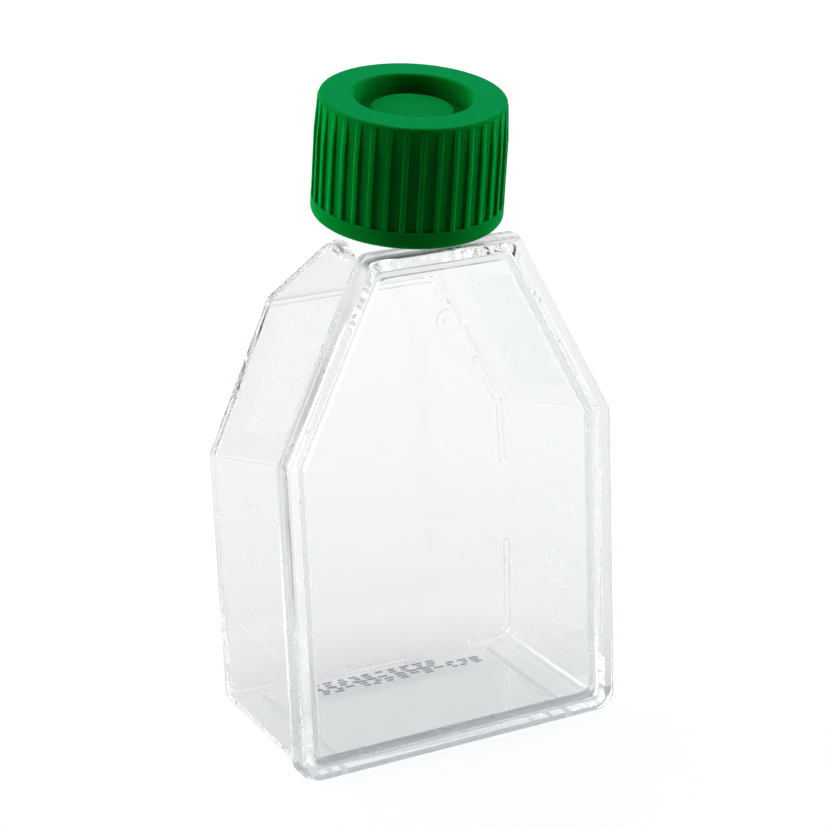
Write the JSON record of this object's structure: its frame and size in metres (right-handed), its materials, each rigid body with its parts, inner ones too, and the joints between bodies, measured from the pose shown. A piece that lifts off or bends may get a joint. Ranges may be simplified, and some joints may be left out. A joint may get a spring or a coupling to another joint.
{
  "type": "cell culture flask",
  "caption": "Clear house-shaped flask with a welded front plate, a leaning neck and a ribbed green screw cap.",
  "frame": {"origin": "centre of the whole object's footprint, on the surface that the flask stands on", "axes": "+Z from the end wall up to the cap, +X across the width, the welded front plate faces -Y"},
  "size_m": [0.052, 0.0356, 0.0973],
  "materials": {
    "clear_body": "clear polystyrene, glossy",
    "clear_plate": "clear polystyrene, glossy",
    "cap_green": "satin polyethylene",
    "seal_natural": "natural polyethylene"
  },
  "bodies": {
    "flask": {"flask_body": "clear_body", "front_plate": "clear_plate"},
    "seal": {"cap_seal": "seal_natural"},
    "cap": {"screw_cap": "cap_green"}
  },
  "joints": [
    {"name": "cap_lift", "type": "slide", "parent": "flask", "child": "seal", "axis": [0, -0.2011, 0.9796], "range_m": [0, 0.006]},
    {"name": "cap_turn", "type": "hinge", "parent": "seal", "child": "cap", "pos_m": [0, -0.00156, 0.07765], "axis": [0, -0.2011, 0.9796], "range_deg": [0, 540]}
  ],
  "couplings": [
    {"joint": "cap_turn", "follows": "cap_lift", "rad_per_m": 1570.8}
  ]
}
